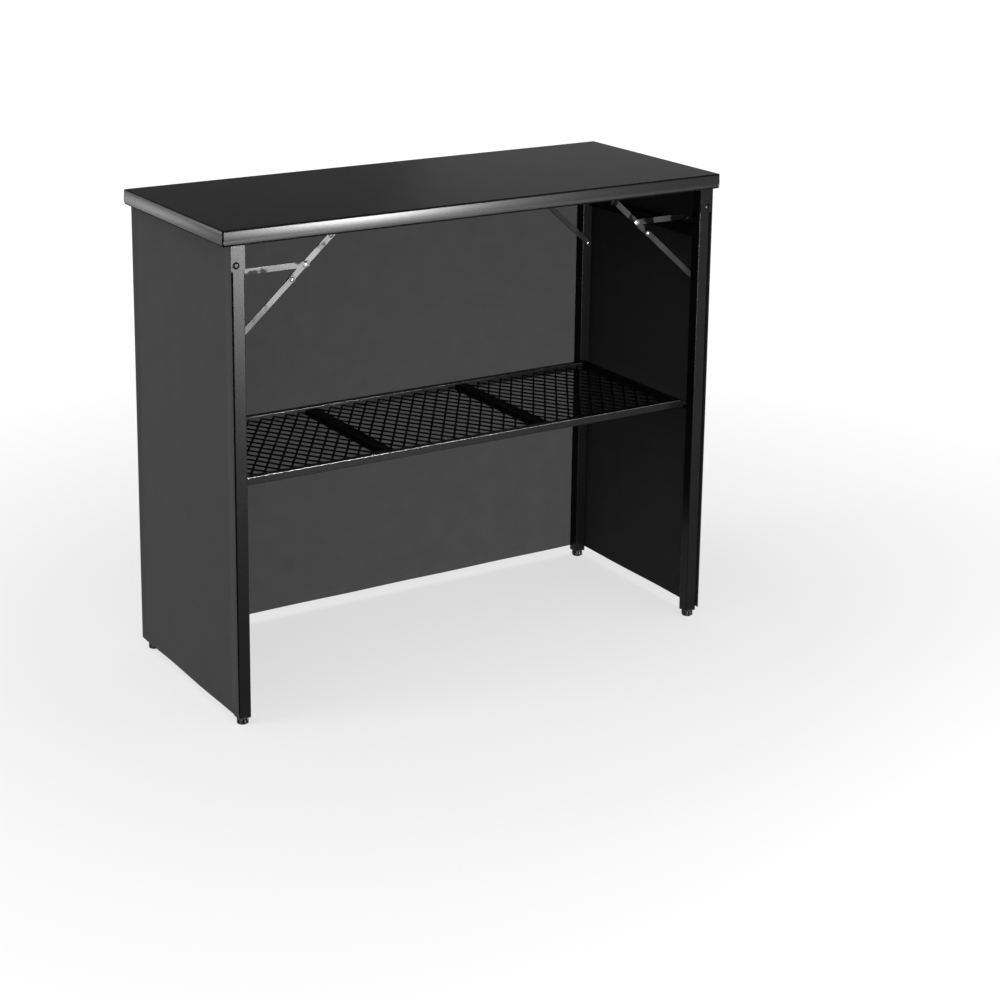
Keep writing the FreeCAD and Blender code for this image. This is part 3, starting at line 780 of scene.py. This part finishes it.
def pivot_bolts():
    """The four pivot bolts, each a button head outside the bracket, a shank and a nut inside."""
    shells = []
    for side, row in corners:
        low, high = corner_box("pivot_bolts", side, row)
        ear_low, ear_high = corner_box(f"leg_bracket_{row}_{side}", side, row)
        centre = at_joint(f"fold_{side}")
        head_radius = (high[2] - low[2]) / 2
        head = button_head(ear_high[1], high[1] - ear_high[1], head_radius)
        shank = [(0.0, low[1] - shank_end), (rivet_shank, low[1] - shank_end),
                 (rivet_shank, ear_high[1]), (0.0, ear_high[1])]
        for shell in (head, revolved(shank), hex_nut(low[1], ear_low[1])):
            shells.append(placed(shell, centre, side, row))
    make_piece("pivot_bolts_turned", "root", shells, ["black_fastener"],
               ["pivot_bolts"])


def foot_pad(radius, height):
    """The lobed pad. The radius at an angle is the pad's less a groove times 1 - |cos(n a / 2)| to
    groove_power, which gives n round lobes with narrow grooves between them. Returns the points, the
    faces outside the grooves and those in them, which are drawn near black as painted shade."""
    angle = np.linspace(0, 2 * math.pi, foot_lobes * 18, endpoint=False)
    pad_top = height - foot_neck_height
    lobe = foot_groove * (1 - np.abs(np.cos(foot_lobes * angle / 2)) ** groove_power)
    rows_of = [(0.0, 0.0, 0.0), (radius - foot_chamfer * 1.3, 0.0, 0.4),
               (radius - foot_chamfer * 0.6, foot_chamfer * 0.35, 0.8),
               (radius, foot_chamfer, 1.0), (radius, pad_top - foot_chamfer, 1.0),
               (radius - foot_chamfer * 0.3, pad_top - foot_chamfer * 0.3, 0.9),
               (radius - foot_chamfer, pad_top, 0.5), (foot_neck, pad_top, 0.0),
               (foot_neck, height - foot_neck_round, 0.0), (foot_neck - foot_neck_round, height, 0.0),
               (0.0, height, 0.0)]
    radii = np.array([np.maximum(out - grooved * lobe, 0) for out, _, grooved in rows_of])
    z = np.broadcast_to(np.array([up for _, up, _ in rows_of])[:, None], radii.shape)
    points, faces = surface(np.stack([radii * np.cos(angle), radii * np.sin(angle), z], axis=-1),
                            round_columns=True)
    middle = angle + angle[1] / 2
    # faces in the grooves, which get a near-black finish as painted shade
    dark = np.abs(np.cos(foot_lobes * middle / 2)) < painted_groove_shade_share
    upright = (np.arange(len(rows_of) - 1) > 1) & (np.arange(len(rows_of) - 1) < 5)
    grooved = (upright[:, None] & dark[None, :]).ravel()
    ribs = [face for face, inside in zip(faces, grooved) if not inside]
    grooves = [face for face, inside in zip(faces, grooved) if inside]
    return points, ribs, grooves


def threaded_stem(start, end):
    """A screw thread: the radius swings by a triangle wave of height / pitch - angle / turn."""
    angle = np.linspace(0, 2 * math.pi, thread_sides, endpoint=False)
    z = np.arange(start, end, thread_pitch / thread_steps)
    phase = (z[:, None] / thread_pitch - angle / (2 * math.pi)) % 1
    radius = stem_radius - thread_depth * 2 * np.abs(phase - 0.5)
    closing = np.zeros((1, len(angle)))
    radius = np.vstack([closing, radius, closing])
    z = np.concatenate([z[:1], z, z[-1:]])
    height = np.broadcast_to(z[:, None], radius.shape)
    return surface(np.stack([radius * np.cos(angle), radius * np.sin(angle), height], axis=-1),
                   round_columns=True)


def levelling_feet():
    """Four lobed feet on threaded stems. Their groove faces take the near-black finish, painted shade in
    the grooves.
    """
    for side, row in corners:
        node = f"foot_{row}_{side}"
        low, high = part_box(node)
        middle = ((low.x + high.x) / 2, (low.y + high.y) / 2, 0)
        leg_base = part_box(f"leg_plugs_{side}")[0].z
        radius = (high.x - low.x) / 2
        height = leg_base - foot_gap
        pad_points, ribs, grooves = foot_pad(radius, height)
        stem_points, stem_faces = threaded_stem(height, high.z)
        shells = [(pad_points + middle, ribs, 0), (pad_points + middle, grooves, 1),
                  (stem_points + middle, stem_faces, 0)]
        make_piece(f"{node}_cast", body_of[node], shells, ["foot_metal", "core"], [node])


def spindles(places, directions, normals):
    """Short threads at places (n, 3): four-sided, pointed at both ends, lying along directions."""
    across = np.cross(directions, normals)
    stations = np.array([-0.5, -0.3, 0.3, 0.5]) * stitch_length
    girth = np.array([0.05, 1.0, 1.0, 0.05]) * stitch_radius
    turns = np.array([[1, 0], [0, 1], [-1, 0], [0, -1]])
    ring = (turns[:, 0, None, None] * across + turns[:, 1, None, None] * normals)
    grid = (places + stations[:, None, None] * directions)[:, None] + girth[:, None, None, None] * ring
    grid = grid.transpose(2, 0, 1, 3)
    count = len(places)
    index = np.arange(count * 16).reshape(count, 4, 4)
    index = np.concatenate([index, index[:, :, :1]], axis=2)
    quads = np.stack([index[:, :-1, :-1], index[:, :-1, 1:], index[:, 1:, 1:], index[:, 1:, :-1]],
                     axis=-1).reshape(-1, 4)
    caps = np.concatenate([index[:, 0, :4], index[:, 3, :4]])
    return grid.reshape(-1, 3), np.concatenate([quads, caps]).tolist()


def cloth_shell(span, flap, fold, drop, turn):
    """A panel hung from a flap. Along it, s runs over span. Across it, t is the distance from the
    flap's free end: flat for flap, then a quarter circle of radius fold, then straight down for
    drop. The cloth is cloth_thickness thick, and thicker in its hems. turn maps (out, s, z) to the
    place and direction of each point. Returns the shell, its stitches and its flat length."""
    bend = fold * math.pi / 2
    length = flap + bend + drop
    start, end = span
    s = np.unique(np.concatenate([
        start + np.array([0, cloth_edge, hem_width - hem_step, hem_width]),
        end - np.array([0, cloth_edge, hem_width - hem_step, hem_width]),
        np.linspace(start + hem_width, end - hem_width, max(3, int((end - start) / cloth_column)))]))
    t = np.unique(np.concatenate([
        [0, cloth_edge], np.linspace(0, flap, 4), flap + np.linspace(0, bend, 7),
        np.linspace(flap + bend, length - hem_width, 40),
        length - np.array([hem_width, hem_width - hem_step, cloth_edge, 0])]))

    def path(distance):
        angle = np.clip((distance - flap) / fold, 0, math.pi / 2)
        out = np.maximum(flap - distance, 0) + fold * (1 - np.sin(angle))
        down = fold * (1 - np.cos(angle)) + np.maximum(distance - flap - bend, 0)
        return out, down, angle

    def spot(s_value, t_value, lift):
        """Place at (s, t), lift metres off the middle of the cloth."""
        out, down, angle = path(t_value)
        depth = np.clip((t_value - flap - bend) / drop, 0, 1)
        wave = cloth_wave * depth * np.sin(2 * math.pi * s_value / cloth_wave_length + 3 * depth)
        return turn(out - np.sin(angle) * lift + wave, s_value, -down + np.cos(angle) * lift)

    def half_thick(s_value, t_value):
        near = np.minimum(np.minimum(s_value - start, end - s_value), length - t_value)
        hem = np.clip((hem_width - near) / hem_step, 0, 1)
        edge = np.clip(near / cloth_edge, 0, 1)
        rounded = np.sqrt(1 - (1 - edge) ** 2) * 0.6 + 0.4
        return (cloth_thickness + hem_extra * hem) / 2 * rounded

    s_grid, t_grid = np.meshgrid(s, t, indexing="ij")
    half = half_thick(s_grid, t_grid)
    outside, faces = surface(spot(s_grid, t_grid, half))
    inside, _ = surface(spot(s_grid, t_grid, -half))
    count = len(outside)
    back = [[corner + count for corner in face[::-1]] for face in faces]
    index = np.arange(count).reshape(s_grid.shape)
    rim = np.concatenate([index[0, :], index[1:, -1], index[-1, -2::-1], index[-2:0:-1, 0]])
    following = np.roll(rim, -1)
    walls = np.stack([rim, rim + count, following + count, following], axis=1).tolist()
    shell = (np.vstack([outside, inside]), faces + back + walls, 0)

    inset = hem_width - stitch_inset
    down_t = np.arange(flap + bend + stitch_start, length - inset, stitch_pitch)
    along_s = np.arange(start + inset, end - inset, stitch_pitch)
    line_s = np.concatenate([np.full(len(down_t), start + inset), np.full(len(down_t), end - inset),
                             along_s])
    line_t = np.concatenate([down_t, down_t, np.full(len(along_s), length - inset)])
    step = np.concatenate([np.tile([[0.0, 1.0]], (2 * len(down_t), 1)),
                           np.tile([[1.0, 0.0]], (len(along_s), 1))])
    stitches = []
    for face in (1, -1):
        lift = face * (half_thick(line_s, line_t) + stitch_radius * 0.2)
        place = spot(line_s, line_t, lift)
        ahead = spot(line_s + step[:, 0] * nudge, line_t + step[:, 1] * nudge, lift) - place
        away = spot(line_s, line_t, lift + face * nudge) - place
        ahead /= np.linalg.norm(ahead, axis=1, keepdims=True)
        away /= np.linalg.norm(away, axis=1, keepdims=True)
        points, quads = spindles(place, ahead, away)
        stitches.append((points, quads, 1))
    return shell, stitches, length


def cloth_map(piece, across):
    """A UV map in metres on the panel's own plane, so that the weave keeps its scale."""
    mesh = piece.data
    corner = np.empty(len(mesh.loops), dtype=np.int32)
    mesh.loops.foreach_get("vertex_index", corner)
    uv = mesh.uv_layers.new(name="cloth")
    uv.data.foreach_set("uv", vertices_of(mesh)[corner][:, (across, 2)].ravel())


def side_skirts():
    """The two side panels. Their flaps turn outwards under the top."""
    for side, sign in sides.items():
        node = f"skirt_{side}"
        low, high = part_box(node)
        inner = min(abs(low.x), abs(high.x))
        outer = max(abs(low.x), abs(high.x))
        middle = inner + cloth_thickness / 2
        flap = outer - middle - cloth_fold_radius
        crown = high.z - cloth_thickness / 2
        drop = crown - cloth_fold_radius - low.z

        def turn(out, s, z):
            return np.stack([sign * (middle + out), s, crown + z], axis=-1)

        span = (low.y, high.y)
        shell, stitches, length = cloth_shell(span, flap, cloth_fold_radius, drop, turn)
        piece = make_piece(f"{node}_cloth", "root", [shell] + stitches,
                           ["skirt_cloth", "thread"], [node])
        cloth_map(piece, 1)
        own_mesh(piece)


def back_skirt():
    """The back panel. Its flap turns inwards between the leg brackets, and is narrower."""
    low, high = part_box("skirt_back")
    middle = high.y - cloth_thickness / 2
    narrow, reach = back_flap()
    flap = reach - cloth_thickness / 2 - cloth_fold_radius
    crown = high.z - cloth_thickness / 2
    drop = crown - cloth_fold_radius - low.z

    def turn(out, s, z):
        above = np.clip(out / cloth_fold_radius, 0, 1) * (z > -cloth_fold_radius * 1.5)
        drawn = np.clip(s, -narrow, narrow)
        return np.stack([s + (drawn - s) * above, middle - out, crown + z], axis=-1)

    shell, stitches, length = cloth_shell((low.x, high.x), flap, cloth_fold_radius, drop, turn)
    piece = make_piece("skirt_back_cloth", "root", [shell] + stitches,
                       ["skirt_cloth", "thread"], ["skirt_back"])
    cloth_map(piece, 0)
    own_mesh(piece)


def back_flap():
    """Half the length of the back tape, which lies between the side tapes, and how far it reaches
    in from the back panel."""
    points = vertices_of(nodes["skirt_tapes"].data)
    inside = points[np.abs(points[:, 0]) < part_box("leg_back_right")[0].x]
    return np.abs(inside[:, 0]).max(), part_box("skirt_back")[1].y - inside[:, 1].min()


def dress_cad_nodes():
    """Materials of the CAD nodes that stay, and rounded edges on the flat steel parts."""
    for side, row in corners:
        for part in ("upper_stay", "lower_stay", "latch"):
            softened(f"{part}_{row}_{side}", "stay_steel", steel_edge)
        softened(f"leg_bracket_{row}_{side}", "powder_coat", bracket_edge)
    softened("stay_brackets", "powder_coat", bracket_edge)
    softened("shelf_hooks", "powder_coat", steel_edge)
    kept = {"top_panel": "top_board", "bracket_screws": "black_fastener", "skirt_tapes": "hook_tape",
            "shelf_cross_bars": "shelf_coat"}
    for place in (*rows, *sides):
        kept[f"shelf_rail_{place}"] = "powder_coat"
    for side in sides:
        kept[f"cross_rail_{side}"] = "powder_coat"
        kept[f"leg_plugs_{side}"] = "plug_plastic"
        kept[f"pivot_sleeves_{side}"] = "black_fastener"
        kept[f"shelf_studs_{side}"] = "black_fastener"
        for row in rows:
            kept[f"leg_{row}_{side}"] = "powder_coat"
    for node, slot in kept.items():
        mesh = nodes[node].data
        mesh.materials.clear()
        mesh.materials.append(finish[slot])


def camera():
    """The camera at the picture's place. Its axes come from the azimuth and elevation that it looks
    back along, turned by the roll."""
    a, e, c, s = camera_azimuth, camera_elevation, math.cos(camera_roll), math.sin(camera_roll)
    back = Vector((math.sin(a) * math.cos(e), -math.cos(a) * math.cos(e), math.sin(e)))
    right = Vector((math.cos(a), math.sin(a), 0))
    up = back.cross(right)
    turned_right = right * c + up * s
    turned_up = up * c - right * s
    data = bpy.data.cameras.new("camera")
    data.sensor_width = sensor_mm
    data.lens = focal_pixels / picture_pixels * sensor_mm
    data.shift_x = (picture_pixels / 2 - centre_pixel[0]) / picture_pixels
    data.shift_y = (centre_pixel[1] - picture_pixels / 2) / picture_pixels
    data.clip_end = 200
    view = new_object("camera", data)
    matrix = Matrix((turned_right, turned_up, back)).transposed().to_4x4()
    matrix.translation = camera_place
    view.matrix_world = matrix
    bpy.context.scene.camera = view


def seen_rays(tree):
    """1 for camera, glossy and transmission rays, else 0."""
    path = add(tree, "ShaderNodeLightPath")
    glossy = add(tree, "ShaderNodeMath", {"operation": "MAXIMUM"},
                 {0: path.outputs["Is Camera Ray"], 1: path.outputs["Is Glossy Ray"]})
    return add(tree, "ShaderNodeMath", {"operation": "MAXIMUM"},
               {0: glossy.outputs[0], 1: path.outputs["Is Transmission Ray"]}).outputs[0]


def studio_floor():
    """A pale floor. What is seen of it is near white and keeps the shadow, and its glow is dimmer near
    the bar, a painted soft shadow around it. The light that it throws back on the object is that of a
    darker floor."""
    material = bpy.data.materials.new("studio_floor")
    material.use_nodes = True
    tree = material.node_tree
    tree.nodes.clear()
    pale = add(tree, "ShaderNodeBsdfDiffuse", {"Color": linear("#989898")})
    place = add(tree, "ShaderNodeTexCoord")
    away = add(tree, "ShaderNodeVectorMath", {"operation": "LENGTH"}, {0: place.outputs["Object"]})
    # the glow is weaker near the bar: a painted soft shadow on the floor around it
    strength = ranged(tree, away.outputs["Value"], glow_near_painted_shadow, glow_far, floor_near, floor_far)
    glow = add(tree, "ShaderNodeEmission", {"Color": linear("#ffffff")}, {"Strength": strength})
    shown = add(tree, "ShaderNodeAddShader", None, {0: pale.outputs[0], 1: glow.outputs[0]})
    dark = add(tree, "ShaderNodeBsdfDiffuse", {"Color": linear("#3a3a3a")})
    mixed = add(tree, "ShaderNodeMixShader", None,
                {0: seen_rays(tree), 1: dark.outputs[0], 2: shown.outputs[0]})
    add(tree, "ShaderNodeOutputMaterial", None, {"Surface": mixed.outputs[0]})
    return material


def stage():
    """The floor, a flat square that runs out past the view."""
    reach = 60.0
    mesh = bpy.data.meshes.new("floor")
    square = [(-reach, -reach, 0), (reach, -reach, 0), (reach, reach, 0), (-reach, reach, 0)]
    mesh.from_pydata(square, [], [(0, 1, 2, 3)])
    mesh.materials.append(studio_floor())
    floor = new_object("floor", mesh)


def world():
    """Pale surroundings for what is seen, darker overhead, and dim ones for the light that they
    throw."""
    surroundings = bpy.data.worlds.new("studio")
    surroundings.use_nodes = True
    tree = surroundings.node_tree
    tree.nodes.clear()
    direction = add(tree, "ShaderNodeTexCoord")
    split = add(tree, "ShaderNodeSeparateXYZ", None, {"Vector": direction.outputs["Generated"]})
    tone = blended(tree, ranged(tree, split.outputs["Z"], 0.0, 1.0, 0.1, 0.3), "#dcdcdc", "#6c6c6c")
    shown = add(tree, "ShaderNodeBackground", {"Strength": 1.0}, {"Color": tone})
    thrown = add(tree, "ShaderNodeBackground", {"Color": linear("#ffffff"), "Strength": 0.08})
    mixed = add(tree, "ShaderNodeMixShader", None,
                {0: seen_rays(tree), 1: thrown.outputs[0], 2: shown.outputs[0]})
    add(tree, "ShaderNodeOutputWorld", None, {"Surface": mixed.outputs[0]})
    bpy.context.scene.world = surroundings


def soft_light(name, place, target, size, power, shadow=True):
    """A rectangular area lamp at a place that faces a target, with or without a shadow."""
    data = bpy.data.lights.new(name, "AREA")
    data.shape = "RECTANGLE"
    data.size, data.size_y = size
    data.energy = power
    data.use_shadow = shadow
    lamp = new_object(name, data)
    lamp.location = place
    facing = Vector(target) - Vector(place)
    lamp.rotation_euler = facing.to_track_quat("-Z", "Y").to_euler()
    lamp.visible_camera = False


def lights():
    """The key is a soft panel low in the front right, which the steel mirrors towards the camera
    at the left front corner. It throws no shadow. The others fill the front, the left side, the
    top's far corner and the floor."""
    soft_light("key_panel", (1.1, -3.2, 0.35), (-0.3, 0.0, 0.6), (0.55, 0.4), 150, False)
    soft_light("front_panel", (-0.3, -5.0, 1.0), (0.0, 0.0, 0.5), (1.4, 1.2), 15)
    soft_light("left_panel", (-4.5, 0.6, 1.1), (-0.57, 0.0, 0.5), (1.6, 1.4), 104)
    soft_light("left_strip", (-1.8, 2.7, 0.45), (-0.57, 0.0, 0.9), (0.7, 0.3), 2.5)
    soft_light("far_panel", (2.9, 3.4, 1.7), (0.3, 0.1, 0.98), (1.6, 1.0), 3.5)
    data = bpy.data.lights.new("floor_level", "SUN")
    data.energy = 1.65
    data.angle = math.radians(110)
    lamp = new_object("floor_level", data)
    lamp.rotation_euler = Vector((0.25, 0.25, -1.0)).to_track_quat("-Z", "Y").to_euler()


camera()
stage()
world()
lights()
edge_trims()
shelf_meshes()
rail_highlight_lines()
stay_rivets()
pivot_bolts()
levelling_feet()
side_skirts()
back_skirt()
dress_cad_nodes()
bpy.context.scene.view_settings.view_transform = "Standard"
